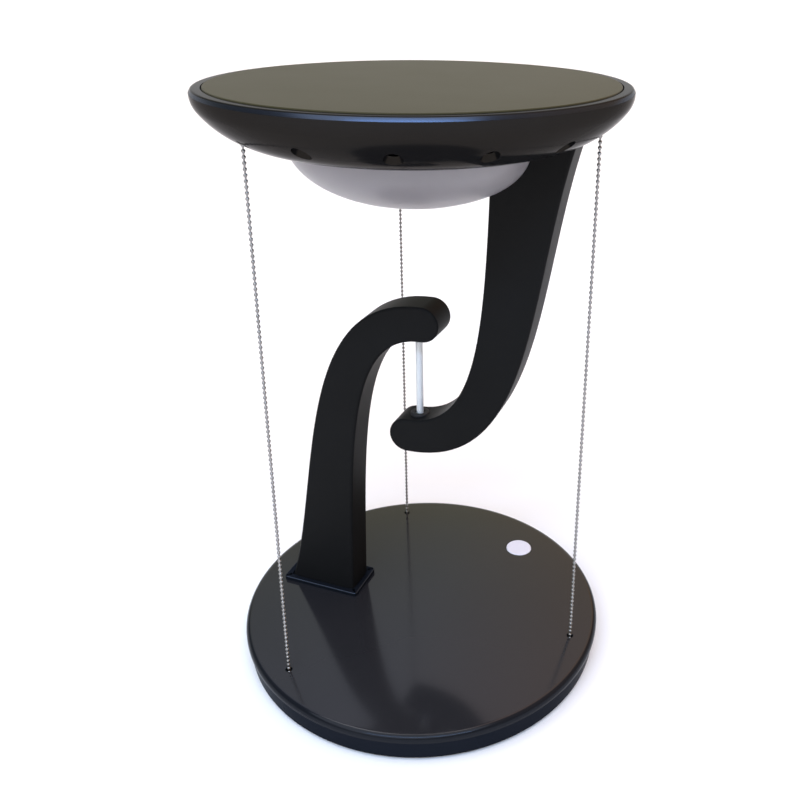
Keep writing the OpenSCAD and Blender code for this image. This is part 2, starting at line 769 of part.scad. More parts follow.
base_tray();
base_cover();
base_weight();
base_feet();
tray_screws();
power_board();
power_inlet();
switch_board();
switch_body();
switch_plunger();
switch_button();
arm_collar();
base_arm();
base_arm_lid();
base_arm_screws();
upper_grommet();
cord();
cord_crimps();
chain_right();
chain_back();
chain_left();
head_bowl();
charge_plate();
charge_coil();
coil_shield();
charger_board();
head_frame();
frame_screws();
led_board();
led_chips();
light_dome();
dome_gasket();
head_arm();
head_arm_lid();
head_arm_screws();
lower_grommet();
head_lead();
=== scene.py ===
"""Looks of a desk lamp that seems to float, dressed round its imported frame.

The frame gives every piece at its real place and size. This script puts smooth shells, beads and rubber
over the visible pieces, gives each surface its finish, and sets up a pale floor, soft light and the camera.
All sizes are in metres, in the frame's own axes: +Z up along the cord, +X towards the head's arm.
"""

from __future__ import annotations

import logging
import math
from collections.abc import Iterable, Sequence
from dataclasses import dataclass
from enum import Enum

import bmesh
import bpy
from mathutils import Matrix, Vector
from mathutils.geometry import interpolate_bezier

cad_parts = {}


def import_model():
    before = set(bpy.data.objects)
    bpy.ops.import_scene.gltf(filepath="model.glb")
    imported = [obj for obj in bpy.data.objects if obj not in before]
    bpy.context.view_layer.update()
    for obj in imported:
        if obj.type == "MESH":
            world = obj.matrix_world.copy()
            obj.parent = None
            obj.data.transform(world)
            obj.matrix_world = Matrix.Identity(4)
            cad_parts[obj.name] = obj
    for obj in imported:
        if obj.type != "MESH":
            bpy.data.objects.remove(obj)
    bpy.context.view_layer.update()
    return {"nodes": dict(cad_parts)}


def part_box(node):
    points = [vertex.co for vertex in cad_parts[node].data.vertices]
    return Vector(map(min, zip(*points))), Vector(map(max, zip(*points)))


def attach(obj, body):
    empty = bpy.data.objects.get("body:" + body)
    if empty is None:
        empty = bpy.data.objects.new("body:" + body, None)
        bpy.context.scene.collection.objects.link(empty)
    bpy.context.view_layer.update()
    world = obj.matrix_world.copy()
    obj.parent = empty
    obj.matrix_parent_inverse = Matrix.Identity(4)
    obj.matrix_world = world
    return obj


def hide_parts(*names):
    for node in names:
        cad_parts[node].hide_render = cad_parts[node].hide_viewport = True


LOG = logging.getLogger("lamp")
MM = 0.001
TURN = 2 * math.pi
MERGE = 1e-7
NOISE_LOW = 0.3
NOISE_HIGH = 0.7
SPREAD_WEIGHT = 0.6

Colour = tuple[float, float, float]
Point = tuple[float, float]
Stops = tuple[tuple[float, Colour], ...]
Mesh = bmesh.types.BMesh
Tree = bpy.types.NodeTree
Socket = bpy.types.NodeSocket


class Grain(Enum):
    """What the surface shows when it is looked at closely."""

    POLISHED = "polished"
    MOULDED = "moulded"
    BRUSHED = "brushed"
    WOUND = "wound"
    TRACKED = "tracked"
    CRACKED = "cracked"


class Hold(Enum):
    """Which end of the lamp an arm is fixed to. The base's arm is the head's arm turned over."""

    BASE = -1
    HEAD = 1


@dataclass(frozen=True)
class Finish:
    """One surface: its colours, its gloss and its grain.

    Attributes:
        slot: Name that the finish's material is named after.
        colour: Main colour.
        tone: Colour that the main one drifts towards.
        gloss: Roughness where the surface is smoothest and where it is dullest.
        grain: Kind of close-up detail.
        grain_size: Distance between the grain's high spots.
        relief: Height of the grain.
        metal: How metallic it is, from 0 to 1.
        specular: Strength of its reflections, where 0.5 is plain plastic.
        tint: Colour of its reflections when it is looked at straight on. Above 1 it makes up for a low
            strength, which keeps the edges dark.
        coat: Strength of a clear layer on top.
        glow: How far light spreads under the surface.
        bow: How much the surface bows up towards the cord, as one over the radius of its bow.
    """

    slot: str
    colour: Colour
    tone: Colour
    gloss: tuple[float, float]
    grain: Grain = Grain.MOULDED
    grain_size: float = 0.5 * MM
    relief: float = 0.01 * MM
    metal: float = 0.0
    specular: float = 0.5
    tint: Colour = (1.0, 1.0, 1.0)
    coat: float = 0.0
    glow: float = 0.0
    bow: float = 0.0

    def material(self) -> bpy.types.Material:
        """Makes the finish's material, or finds it if it was made before.

        Returns:
            The material, with its nodes.
        """
        name = f"{self.slot}_finish"
        found = bpy.data.materials.get(name)
        if found:
            return found
        made = bpy.data.materials.new(name)
        made.use_nodes = True
        made.diffuse_color = (*self.colour, 1.0)
        tree = made.node_tree
        shader = tree.nodes["Principled BSDF"]
        shader.inputs["Metallic"].default_value = self.metal
        shader.inputs["Specular IOR Level"].default_value = self.specular
        shader.inputs["Specular Tint"].default_value = (*self.tint, 1.0)
        shader.inputs["Coat Weight"].default_value = self.coat
        shader.inputs["Coat Roughness"].default_value = self.gloss[0]
        if self.glow:
            shader.inputs["Subsurface Weight"].default_value = SPREAD_WEIGHT
            shader.inputs["Subsurface Radius"].default_value = (1.0, 0.95, 1.0)
            shader.inputs["Subsurface Scale"].default_value = self.glow
        place = tree.nodes.new("ShaderNodeTexCoord").outputs["Object"]
        drift = self.noise(tree, place, 1 / (60 * self.grain_size + 12 * MM), 3.0)
        self.blend(tree, drift, shader.inputs["Base Color"])
        self.spread(tree, drift, shader.inputs["Roughness"])
        grain = self.bump(tree, self.height(tree, place), shader.inputs["Normal"])
        if self.bow:
            self.crown(tree, place, grain)
        return made

    def noise(self, tree: Tree, place: Socket, scale: float, detail: float) -> Socket:
        """Adds soft noise.

        Args:
            tree: Node tree of the material.
            place: Where the noise is read.
            scale: Waves in a metre.
            detail: Number of finer layers.

        Returns:
            The noise's value, about 0.5 on average.
        """
        node = tree.nodes.new("ShaderNodeTexNoise")
        node.inputs["Scale"].default_value = scale
        node.inputs["Detail"].default_value = detail
        tree.links.new(place, node.inputs["Vector"])
        return node.outputs["Fac"]

    def blend(self, tree: Tree, amount: Socket, goal: Socket) -> None:
        """Mixes the two colours.

        Args:
            tree: Node tree of the material.
            amount: Value that picks between the colours.
            goal: Socket that takes the mixed colour.
        """
        ramp = tree.nodes.new("ShaderNodeValToRGB")
        ramp.color_ramp.elements[0].position = NOISE_LOW
        ramp.color_ramp.elements[0].color = (*self.colour, 1.0)
        ramp.color_ramp.elements[1].position = NOISE_HIGH
        ramp.color_ramp.elements[1].color = (*self.tone, 1.0)
        tree.links.new(amount, ramp.inputs["Fac"])
        tree.links.new(ramp.outputs["Color"], goal)

    def spread(self, tree: Tree, amount: Socket, goal: Socket) -> None:
        """Spreads a value over the finish's range of gloss.

        Args:
            tree: Node tree of the material.
            amount: Noise, mostly between its low and high values.
            goal: Socket that takes the roughness.
        """
        node = tree.nodes.new("ShaderNodeMapRange")
        node.inputs["From Min"].default_value = NOISE_LOW
        node.inputs["From Max"].default_value = NOISE_HIGH
        node.inputs["To Min"].default_value = self.gloss[0]
        node.inputs["To Max"].default_value = self.gloss[1]
        tree.links.new(amount, node.inputs["Value"])
        tree.links.new(node.outputs["Result"], goal)

    def bump(self, tree: Tree, height: Socket, goal: Socket) -> Socket:
        """Raises the grain.

        Args:
            tree: Node tree of the material.
            height: Height of the grain, from 0 to 1.
            goal: Socket that takes the surface's direction.

        Returns:
            The socket for the direction that the grain is raised from.
        """
        node = tree.nodes.new("ShaderNodeBump")
        node.inputs["Distance"].default_value = self.relief
        tree.links.new(height, node.inputs["Height"])
        tree.links.new(node.outputs["Normal"], goal)
        return node.inputs["Normal"]

    def crown(self, tree: Tree, place: Socket, goal: Socket) -> None:
        """Bows the surface a little, highest over the cord.

        Args:
            tree: Node tree of the material.
            place: Where the surface is.
            goal: Socket that takes the bowed surface's direction.
        """
        flat = tree.nodes.new("ShaderNodeVectorMath")
        flat.operation = "MULTIPLY"
        flat.inputs[1].default_value = (1.0, 1.0, 0.0)
        square = tree.nodes.new("ShaderNodeVectorMath")
        square.operation = "DOT_PRODUCT"
        node = tree.nodes.new("ShaderNodeBump")
        node.invert = True
        node.inputs["Distance"].default_value = self.bow / 2
        tree.links.new(place, flat.inputs[0])
        tree.links.new(flat.outputs["Vector"], square.inputs[0])
        tree.links.new(flat.outputs["Vector"], square.inputs[1])
        tree.links.new(square.outputs["Value"], node.inputs["Height"])
        tree.links.new(node.outputs["Normal"], goal)

    def height(self, tree: Tree, place: Socket) -> Socket:
        """Adds the grain's own pattern.

        Args:
            tree: Node tree of the material.
            place: Where the pattern is read.

        Returns:
            The pattern's height.
        """
        scale = 1 / self.grain_size
        if self.grain is Grain.POLISHED:
            return self.noise(tree, place, scale / 20, 1.0)
        if self.grain is Grain.MOULDED:
            return self.noise(tree, place, scale, 2.0)
        if self.grain is Grain.BRUSHED:
            stretch = tree.nodes.new("ShaderNodeMapping")
            stretch.inputs["Scale"].default_value = (1.0, 0.04, 1.0)
            tree.links.new(place, stretch.inputs["Vector"])
            return self.noise(tree, stretch.outputs["Vector"], scale, 2.0)
        if self.grain is Grain.WOUND:
            rings = tree.nodes.new("ShaderNodeTexWave")
            rings.wave_type = "RINGS"
            rings.rings_direction = "Z"
            rings.inputs["Scale"].default_value = scale / TURN
            tree.links.new(place, rings.inputs["Vector"])
            return rings.outputs["Fac"]
        cells = tree.nodes.new("ShaderNodeTexVoronoi")
        cells.feature = "DISTANCE_TO_EDGE"
        cells.distance = "EUCLIDEAN"
        cells.inputs["Scale"].default_value = scale
        cells.inputs["Randomness"].default_value = 0.25 if self.grain is Grain.TRACKED else 1.0
        tree.links.new(place, cells.inputs["Vector"])
        return cells.outputs["Distance"]


COVER_GLOSS = Finish("gloss_black", (0.0145, 0.0145, 0.017), (0.0165, 0.0165, 0.019), (0.11, 0.14),
                     Grain.POLISHED, 1.2 * MM, 0.001 * MM, specular=0.46, bow=1.5)
# Darker, weaker-reflecting copy of the cover's gloss: painted shade on the cover's rounded edge and side.
COVER_PAINTED_SHADE = Finish("cover_edge", (0.007, 0.008, 0.0105), (0.009, 0.01, 0.0125), (0.1, 0.13),
                    Grain.POLISHED, 1.2 * MM, 0.001 * MM, specular=0.1, tint=(1.0, 1.1, 1.3))
TRAY_SATIN = Finish("tray_black", (0.006, 0.0075, 0.011), (0.008, 0.0095, 0.013), (0.24, 0.32),
                    grain_size=0.35 * MM, relief=0.004 * MM, specular=0.004, tint=(9.0, 12.0, 20.0))
ARM_SATIN = Finish("arm_black", (0.0074, 0.0077, 0.0081), (0.0088, 0.0091, 0.0096), (0.38, 0.44),
                   grain_size=0.3 * MM, relief=0.004 * MM, specular=0.03, tint=(1.5, 1.4, 1.2))
# The bowl's warm reflection tint is a painted reflection: it turns the white floor's reflection brown.
BOWL_SATIN = Finish("bowl_black", (0.0075, 0.0075, 0.008), (0.0095, 0.0095, 0.01), (0.12, 0.15),
                    grain_size=0.3 * MM, relief=0.003 * MM, specular=0.004, tint=(35.0, 29.0, 22.0))
# Glossier, blue-tinted copy of the bowl's finish, laid only on the rim's facet and the collar's sloping
# edges: a painted highlight.
EDGE_PAINTED_GLINT = Finish("edge_painted_glint", (0.008, 0.0085, 0.01), (0.01, 0.0105, 0.012), (0.24, 0.28),
                   grain_size=0.3 * MM, relief=0.002 * MM, specular=0.02, tint=(16.0, 21.0, 32.0))
# Dark matt plate whose olive-yellow tint is a painted reflection of a warm room.
PLATE_MATT_PAINTED_REFLECTION = Finish("plate_black", (0.049, 0.043, 0.022), (0.052, 0.046, 0.024), (0.4, 0.42),
                    grain_size=0.25 * MM, relief=0.004 * MM, specular=0.06)
# The opal's lilac cast is its own; its low brightness is painted shade from under the head.
DOME_OPAL_PAINTED_SHADE = Finish("dome_opal", (0.24, 0.228, 0.238), (0.26, 0.248, 0.258), (0.34, 0.42),
                   grain_size=0.4 * MM, relief=0.004 * MM, glow=3 * MM)
BUTTON_WHITE = Finish("button_white", (0.76, 0.74, 0.81), (0.8, 0.78, 0.85), (0.28, 0.36),
                      grain_size=0.3 * MM, relief=0.004 * MM, glow=1 * MM)
CHAIN_NICKEL = Finish("chain_steel", (0.27, 0.265, 0.255), (0.34, 0.33, 0.32), (0.24, 0.36),
                      Grain.POLISHED, 0.3 * MM, 0.004 * MM, metal=1.0)
CORD_JACKET = Finish("cord_grey", (0.62, 0.64, 0.64), (0.67, 0.69, 0.69), (0.34, 0.44),
                     grain_size=0.4 * MM, relief=0.008 * MM, glow=0.6 * MM)
SEAL_RUBBER = Finish("seal_rubber", (0.01, 0.01, 0.011), (0.014, 0.014, 0.015), (0.55, 0.7),
                     grain_size=0.25 * MM, relief=0.012 * MM, specular=0.35)
FOOT_RUBBER = Finish("foot_rubber", (0.02, 0.02, 0.02), (0.03, 0.03, 0.029), (0.7, 0.85),
                     grain_size=0.3 * MM, relief=0.02 * MM, specular=0.3)
SCREW_ZINC = Finish("screw_steel", (0.5, 0.5, 0.52), (0.58, 0.57, 0.56), (0.25, 0.4),
                    Grain.BRUSHED, 0.2 * MM, 0.004 * MM, metal=1.0)
INLET_NICKEL = Finish("inlet_steel", (0.58, 0.58, 0.6), (0.66, 0.65, 0.64), (0.2, 0.32),
                      Grain.BRUSHED, 0.2 * MM, 0.003 * MM, metal=1.0)
WEIGHT_STEEL = Finish("ballast_steel", (0.36, 0.36, 0.37), (0.46, 0.44, 0.42), (0.35, 0.55),
                      Grain.BRUSHED, 0.6 * MM, 0.01 * MM, metal=1.0)
CRIMP_ALLOY = Finish("crimp_metal", (0.62, 0.62, 0.64), (0.7, 0.7, 0.71), (0.25, 0.4),
                     Grain.BRUSHED, 0.2 * MM, 0.004 * MM, metal=1.0)
FRAME_ALLOY = Finish("frame_metal", (0.56, 0.57, 0.59), (0.64, 0.64, 0.65), (0.3, 0.45),
                     Grain.BRUSHED, 0.5 * MM, 0.006 * MM, metal=1.0)
BOARD_GREEN = Finish("board_green", (0.02, 0.12, 0.05), (0.035, 0.18, 0.08), (0.3, 0.4),
                     Grain.TRACKED, 2.5 * MM, 0.03 * MM, coat=0.3)
BOARD_WHITE = Finish("board_white", (0.78, 0.77, 0.73), (0.84, 0.83, 0.79), (0.35, 0.45),
                     Grain.TRACKED, 4 * MM, 0.02 * MM)
CHIP_PHOSPHOR = Finish("chip_yellow", (0.8, 0.52, 0.09), (0.88, 0.62, 0.14), (0.3, 0.4),
                       grain_size=0.2 * MM, relief=0.01 * MM)
COIL_COPPER = Finish("coil_copper", (0.5, 0.21, 0.08), (0.62, 0.28, 0.11), (0.22, 0.32),
                     Grain.WOUND, 1.2 * MM, 0.3 * MM, metal=1.0)
SHIELD_FERRITE = Finish("shield_ferrite", (0.04, 0.04, 0.044), (0.055, 0.055, 0.06), (0.5, 0.65),
                        Grain.CRACKED, 6 * MM, 0.05 * MM)
SWITCH_BLACK = Finish("switch_black", (0.025, 0.025, 0.028), (0.032, 0.032, 0.035), (0.4, 0.5),
                      grain_size=0.2 * MM, relief=0.006 * MM)
PLUNGER_IVORY = Finish("plunger_ivory", (0.7, 0.65, 0.54), (0.76, 0.71, 0.6), (0.35, 0.45),
                       grain_size=0.2 * MM, relief=0.005 * MM)

INNER_FINISHES: dict[str, Finish] = {
    "tray_screws": SCREW_ZINC, "base_arm_screws": SCREW_ZINC, "head_arm_screws": SCREW_ZINC,
    "frame_screws": SCREW_ZINC, "power_inlet": INLET_NICKEL, "base_weight": WEIGHT_STEEL,
    "power_board": BOARD_GREEN, "switch_board": BOARD_GREEN, "charger_board": BOARD_GREEN,
    "switch_body": SWITCH_BLACK, "switch_plunger": PLUNGER_IVORY, "cord_crimps": CRIMP_ALLOY,
    "charge_coil": COIL_COPPER, "coil_shield": SHIELD_FERRITE, "head_frame": FRAME_ALLOY,
    "led_board": BOARD_WHITE, "led_chips": CHIP_PHOSPHOR, "dome_gasket": SEAL_RUBBER,
}


def arc(centre: Point, radius: float, start: float, end: float, count: int = 10) -> list[Point]:
    """Points of an arc in a profile.

    Args:
        centre: Middle of the arc, as radius from the cord and height.
        radius: Radius of the arc.
        start: First angle in degrees, counted up from outwards.
        end: Last angle in degrees.
        count: Number of steps.

    Returns:
        The points in order.
    """
    turns = [math.radians(start + (end - start) * i / count) for i in range(count + 1)]
    return [(centre[0] + radius * math.cos(a), centre[1] + radius * math.sin(a)) for a in turns]


def revolve(profile: Sequence[Point], steps: int = 128, closed: bool = False) -> Mesh:
    """Spins a profile about the upright axis.

    Args:
        profile: Points as radius and height.
        steps: Number of steps in the turn.
        closed: Whether the last point joins the first.

    Returns:
        The spun mesh, facing outwards.
    """
    bm = bmesh.new()
    verts = [bm.verts.new((r, 0.0, z)) for r, z in profile]
    edges = [bm.edges.new(pair) for pair in zip(verts, verts[1:])]
    if closed:
        edges.append(bm.edges.new((verts[-1], verts[0])))
    bmesh.ops.spin(bm, geom=[*verts, *edges], cent=(0, 0, 0), axis=(0, 0, 1), dvec=(0, 0, 0), angle=TURN,
                   steps=steps, use_merge=True)
    bmesh.ops.remove_doubles(bm, verts=bm.verts, dist=MERGE)
    bmesh.ops.recalc_face_normals(bm, faces=bm.faces)
    return bm


def rod(radius: float, low: float, high: float, place: Point = (0.0, 0.0), sides: int = 40) -> Mesh:
    """Makes an upright rod, mostly to cut a hole with.

    Args:
        radius: Radius of the rod.
        low: Height of its lower end.
        high: Height of its upper end.
        place: Where it stands, across and along.
        sides: Number of sides.

    Returns:
        The rod's mesh.
    """
    bm = bmesh.new()
    bmesh.ops.create_cone(bm, cap_ends=True, segments=sides, radius1=radius, radius2=radius, depth=high - low,
                          matrix=Matrix.Translation((*place, (low + high) / 2)))
    return bm


def ring_places(radius: float, angles: Iterable[float]) -> list[Point]:
    """Places round the cord.

    Args:
        radius: Distance from the cord.
        angles: Angles in degrees from the head arm's side.

    Returns:
        One place for each angle.
    """
    return [(radius * math.cos(math.radians(a)), radius * math.sin(math.radians(a))) for a in angles]


def points_of(made: Iterable[object]) -> list[bmesh.types.BMVert]:
    """Picks the points out of what an operator made.

    Args:
        made: Points, edges and faces.

    Returns:
        The points alone.
    """
    return [part for part in made if isinstance(part, bmesh.types.BMVert)]


def round_edges(bm: Mesh, edges: Iterable[bmesh.types.BMEdge], size: float, steps: int) -> None:
    """Rounds edges.

    Args:
        bm: Mesh that the edges belong to.
        edges: Edges to round.
        size: How far the rounding reaches from an edge.
        steps: Number of steps in the rounding.
    """
    bmesh.ops.bevel(bm, geom=list(edges), offset=size, offset_type="OFFSET", segments=steps, profile=0.5,
                    affect="EDGES", material=-1, clamp_overlap=True)


def copies(bm: Mesh, places: Sequence[Point]) -> None:
    """Repeats a mesh that stands on the axis at other places.

    Args:
        bm: Mesh to repeat. It is moved to the first place.
        places: Where the copies stand.
    """
    first = [*bm.verts, *bm.edges, *bm.faces]
    for x, y in places[1:]:
        made = bmesh.ops.duplicate(bm, geom=first)["geom"]
        bmesh.ops.translate(bm, verts=points_of(made), vec=(x, y, 0))
    bmesh.ops.translate(bm, verts=points_of(first), vec=(*places[0], 0))


def shown(name: str, bm: Mesh) -> bpy.types.Object:
    """Puts a mesh in the scene as an object at the origin.

    Args:
        name: Name of the object and its mesh.
        bm: Mesh to show. It is freed.

    Returns:
        The object.
    """
    mesh = bpy.data.meshes.new(name)
    bm.to_mesh(mesh)
    bm.free()
    made = bpy.data.objects.new(name, mesh)
    bpy.context.scene.collection.objects.link(made)
    return made


def carve(bm: Mesh, cutters: Iterable[Mesh]) -> Mesh:
    """Cuts closed meshes out of a closed mesh.

    Args:
        bm: Mesh to cut.
        cutters: What to cut out of it, all clear of each other. They are freed.

    Returns:
        The mesh that is left.
    """
    tools = bmesh.new()
    for cutter in cutters:
        mesh = bpy.data.meshes.new("cutter")
        cutter.to_mesh(mesh)
        cutter.free()
        tools.from_mesh(mesh)
        bpy.data.meshes.remove(mesh)
    blank, tool = shown("blank", bm), shown("tool", tools)
    cut = blank.modifiers.new("cut", "BOOLEAN")
    cut.operation = "DIFFERENCE"
    cut.solver = "EXACT"
    cut.object = tool
    graph = bpy.context.evaluated_depsgraph_get()
    left = bmesh.new()
    left.from_object(blank, graph)
    for gone in (blank, tool):
        bpy.data.meshes.remove(gone.data)
    bmesh.ops.remove_doubles(left, verts=left.verts, dist=MERGE)
    bmesh.ops.dissolve_degenerate(left, edges=left.edges, dist=MERGE)
    return left


@dataclass(frozen=True)
class Piece:
    """One visible piece: its name, what it rides on, its finish and the frame's nodes that it stands for."""

    name: str
    body: str
    finish: Finish
    nodes: tuple[str, ...]
    crease: float = math.radians(32)

    def settle(self, bm: Mesh, *edges: Finish) -> bpy.types.Object:
        """Turns a mesh into the finished piece.

        Args:
            bm: The piece's mesh, in place. It is freed.
            edges: Finishes of the faces marked with a higher material index: painted shade or a painted
                highlight on the piece's edge.

        Returns:
            The piece's object.
        """
        for face in bm.faces:
            face.smooth = True
        for line in bm.edges:
            line.smooth = line.is_manifold and line.calc_face_angle() < self.crease
        made = shown(self.name, bm)
        for finish in (self.finish, *edges):
            made.data.materials.append(finish.material())
        even = made.modifiers.new("even light", "WEIGHTED_NORMAL")
        even.keep_sharp = True
        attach(made, self.body)
        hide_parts(*self.nodes)
        LOG.info("%s: %d faces, on %s", self.name, len(made.data.polygons), self.body)
        return made


@dataclass
class HookedArm:
    """One of the two arms: a flat bar that leaves its root, narrows and ends in a hook over the cord.

    It is drawn across from the cord and up from the middle of the cord's gap, as the head's arm hangs.
    """

    hold: Hold
    middle: float
    rise: float
    thick: float = 15 * MM
    edge: float = 1.2 * MM
    root_out: float = 64.6 * MM
    root_in: float = 32.4 * MM
    hook_out: float = 33.1 * MM
    hook_in: float = 18.1 * MM
    hook_past: float = 3.8 * MM
    outer_lean: float = 0.32
    outer_pull: float = 54.5 * MM
    outer_sweep: float = 54.6 * MM
    inner_lean: float = 0.03
    inner_pull: float = 70 * MM
    inner_sweep: float = 31.1 * MM
    lid_start: float = 0.09
    lid_drop: float = 5 * MM
    lid_rim: float = 0.25 * MM
    lid_gap: float = 0.15 * MM
    lid_depth: float = 1.6 * MM
    lid_edge: float = 0.25 * MM
    seat: float = 4.15 * MM
    curve_points: int = 44
    tip_points: int = 18

    def side(self, outer: bool) -> list[Vector]:
        """Points of one long edge.

        Args:
            outer: Whether it is the outer edge or the one inside the hook.

        Returns:
            The points from the root to the hook's end.
        """
        root = self.root_out if outer else self.root_in
        lean = self.outer_lean * self.outer_pull if outer else self.inner_lean * self.inner_pull
        pull = self.outer_pull if outer else self.inner_pull
        sweep = self.outer_sweep if outer else self.inner_sweep
        level = -self.hook_out if outer else -self.hook_in
        return interpolate_bezier(Vector((root, self.rise)), Vector((root - lean, self.rise - pull)),
                                  Vector((sweep, level)), Vector((-self.hook_past, level)), self.curve_points)

    def outline(self) -> list[Vector]:
        """Gives the whole outline: down the outer edge, round the hook's end and back up inside."""
        centre = (-self.hook_past, -(self.hook_out + self.hook_in) / 2)
        tip = arc(centre, (self.hook_out - self.hook_in) / 2, 270, 90, self.tip_points)
        return [*self.side(True), *(Vector(p) for p in tip[1:-1]), *reversed(self.side(False))]

    def bar(self, half: float) -> Mesh:
        """Extrudes the outline.

        Args:
            half: Half of the bar's thickness.

        Returns:
            The bar as a closed mesh, still drawn as the head's arm.
        """
        bm = bmesh.new()
        front = bm.faces.new([bm.verts.new((p.x, -half, p.y)) for p in self.outline()])
        back = bmesh.ops.extrude_face_region(bm, geom=[front], use_keep_orig=True)["geom"]
        bmesh.ops.translate(bm, verts=points_of(back), vec=(0, 2 * half, 0))
        bmesh.ops.recalc_face_normals(bm, faces=bm.faces)
        return bm

    def place(self, bm: Mesh) -> Mesh:
        """Stands a mesh that was drawn for the head's arm in its own place.

        Args:
            bm: Mesh to move.

        Returns:
            The same mesh.
        """
        turn = Matrix.Rotation(math.pi, 4, "Y") if self.hold is Hold.BASE else Matrix.Identity(4)
        bmesh.ops.transform(bm, matrix=Matrix.Translation((0, 0, self.middle)) @ turn, verts=bm.verts)
        return bm

    def slot(self, room: float) -> Mesh:
        """Gives the room that the arm takes up in what it passes through.

        Args:
            room: Clearance at its two flat sides.

        Returns:
            A mesh to cut with.
        """
        return self.place(self.bar(self.thick / 2 + room))

    def soften(self, bm: Mesh) -> None:
        """Rounds the long edges.

        Args:
            bm: The bar. Its root stays square.
        """
        half = self.thick / 2 - MERGE
        long_edges = [e for e in bm.edges if all(abs(v.co.y) > half for v in e.verts)
                      and e.verts[0].co.y * e.verts[1].co.y > 0
                      and any(v.co.z < self.rise - MERGE for v in e.verts)]
        round_edges(bm, long_edges, self.edge, 4)

    def split_lid(self, bm: Mesh) -> Mesh:
        """Sinks the lid's seat into the back of the bar and makes the lid that fills it.

        Args:
            bm: The softened bar.

        Returns:
            The lid's mesh.
        """
        start = self.rise * (1 - self.lid_start) - self.lid_drop
        bmesh.ops.bisect_plane(bm, geom=[*bm.verts, *bm.edges, *bm.faces], dist=MERGE, plane_co=(0, 0, start),
                               plane_no=(0, 0, 1))
        face = max((f for f in bm.faces if f.normal.y > 0.99 and f.calc_center_median().z < start),
                   key=lambda f: f.calc_area())
        bmesh.ops.inset_region(bm, faces=[face], thickness=self.lid_rim, use_even_offset=True,
                               use_boundary=True)
        lid = bmesh.new()
        cap = lid.faces.new([lid.verts.new(v.co) for v in face.verts])
        sunk = bmesh.ops.extrude_face_region(bm, geom=[face])["geom"]
        bmesh.ops.translate(bm, verts=points_of(sunk), vec=(0, -self.lid_depth, 0))
        bmesh.ops.delete(bm, geom=[face], context="FACES_ONLY")
        rim = bmesh.ops.inset_region(lid, faces=[cap], thickness=self.lid_gap, use_even_offset=True,
                                     use_boundary=True)["faces"]
        bmesh.ops.delete(lid, geom=rim, context="FACES")
        under = bmesh.ops.extrude_face_region(lid, geom=[cap], use_keep_orig=True)["geom"]
        bmesh.ops.translate(lid, verts=points_of(under), vec=(0, -self.lid_depth, 0))
        bmesh.ops.recalc_face_normals(lid, faces=lid.faces)
        top = [e for e in lid.edges if all(v.co.y > self.thick / 2 - MERGE for v in e.verts)]
        round_edges(lid, top, self.lid_edge, 2)
        return lid

    def build(self) -> None:
        """Makes the arm and its lid."""
        body = self.hold.name.lower()
        bar = self.bar(self.thick / 2)
        self.soften(bar)
        lid = self.split_lid(bar)
        bar = carve(bar, [rod(self.seat, -self.hook_in, -self.hook_in + 2 * self.seat)])
        Piece(f"{body}_arm_shell", body, ARM_SATIN, (f"{body}_arm",)).settle(self.place(bar))
        Piece(f"{body}_arm_back", body, ARM_SATIN, (f"{body}_arm_lid",)).settle(self.place(lid))


@dataclass
class Grommet:
    """Rubber ring that guides the cord through a hook."""

    name: str
    body: str
    level: float
    way: int
    bore: float = 1.8 * MM
    neck: float = 2.85 * MM
    lip: float = 4 * MM
    lip_high: float = 1.3 * MM
    deep: float = 2.4 * MM
    soft: float = 0.5 * MM

    def build(self) -> None:
        """Makes the ring, its lip on the side that the cord leaves from."""
        profile = [(self.bore, -self.deep), (self.neck, -self.deep), (self.neck, 0), (self.lip, 0)]
        profile += arc((self.lip - self.soft, self.lip_high - self.soft), self.soft, 0, 90, 5)
        profile += arc((self.bore + self.soft, self.lip_high - self.soft), self.soft, 90, 180, 5)
        bm = revolve([(r, self.level + self.way * z) for r, z in profile], 64, closed=True)
        Piece(f"{self.name}_ring", self.body, SEAL_RUBBER, (self.name,)).settle(bm)


@dataclass
class Cable:
    """Round cable along a route in the plane of the arms."""

    node: str
    body: str
    route: Sequence[Point]
    middle: float
    thick: float = 3 * MM

    def build(self) -> None:
        """Sweeps the cable along its route as one smooth tube."""
        curve = bpy.data.curves.new(f"{self.node}_jacket", "CURVE")
        curve.dimensions = "3D"
        curve.bevel_depth = self.thick / 2
        curve.bevel_resolution = 5
        curve.use_fill_caps = True
        line = curve.splines.new("NURBS")
        line.points.add(len(self.route) - 1)
        for point, (across, up) in zip(line.points, self.route):
            point.co = (across * MM, 0.0, self.middle + up * MM, 1.0)
        line.order_u = 3
        line.use_endpoint_u = True
        line.resolution_u = 6
        drawn = bpy.data.objects.new(curve.name, curve)
        bpy.context.scene.collection.objects.link(drawn)
        bm = bmesh.new()
        mesh = bpy.data.meshes.new_from_object(drawn.evaluated_get(bpy.context.evaluated_depsgraph_get()))
        bm.from_mesh(mesh)
        bpy.data.meshes.remove(mesh)
        bpy.data.curves.remove(curve)
        bmesh.ops.remove_doubles(bm, verts=bm.verts, dist=MERGE)
        bmesh.ops.recalc_face_normals(bm, faces=bm.faces)
        Piece(f"{self.node}_jacket", self.body, CORD_JACKET, (self.node,)).settle(bm)


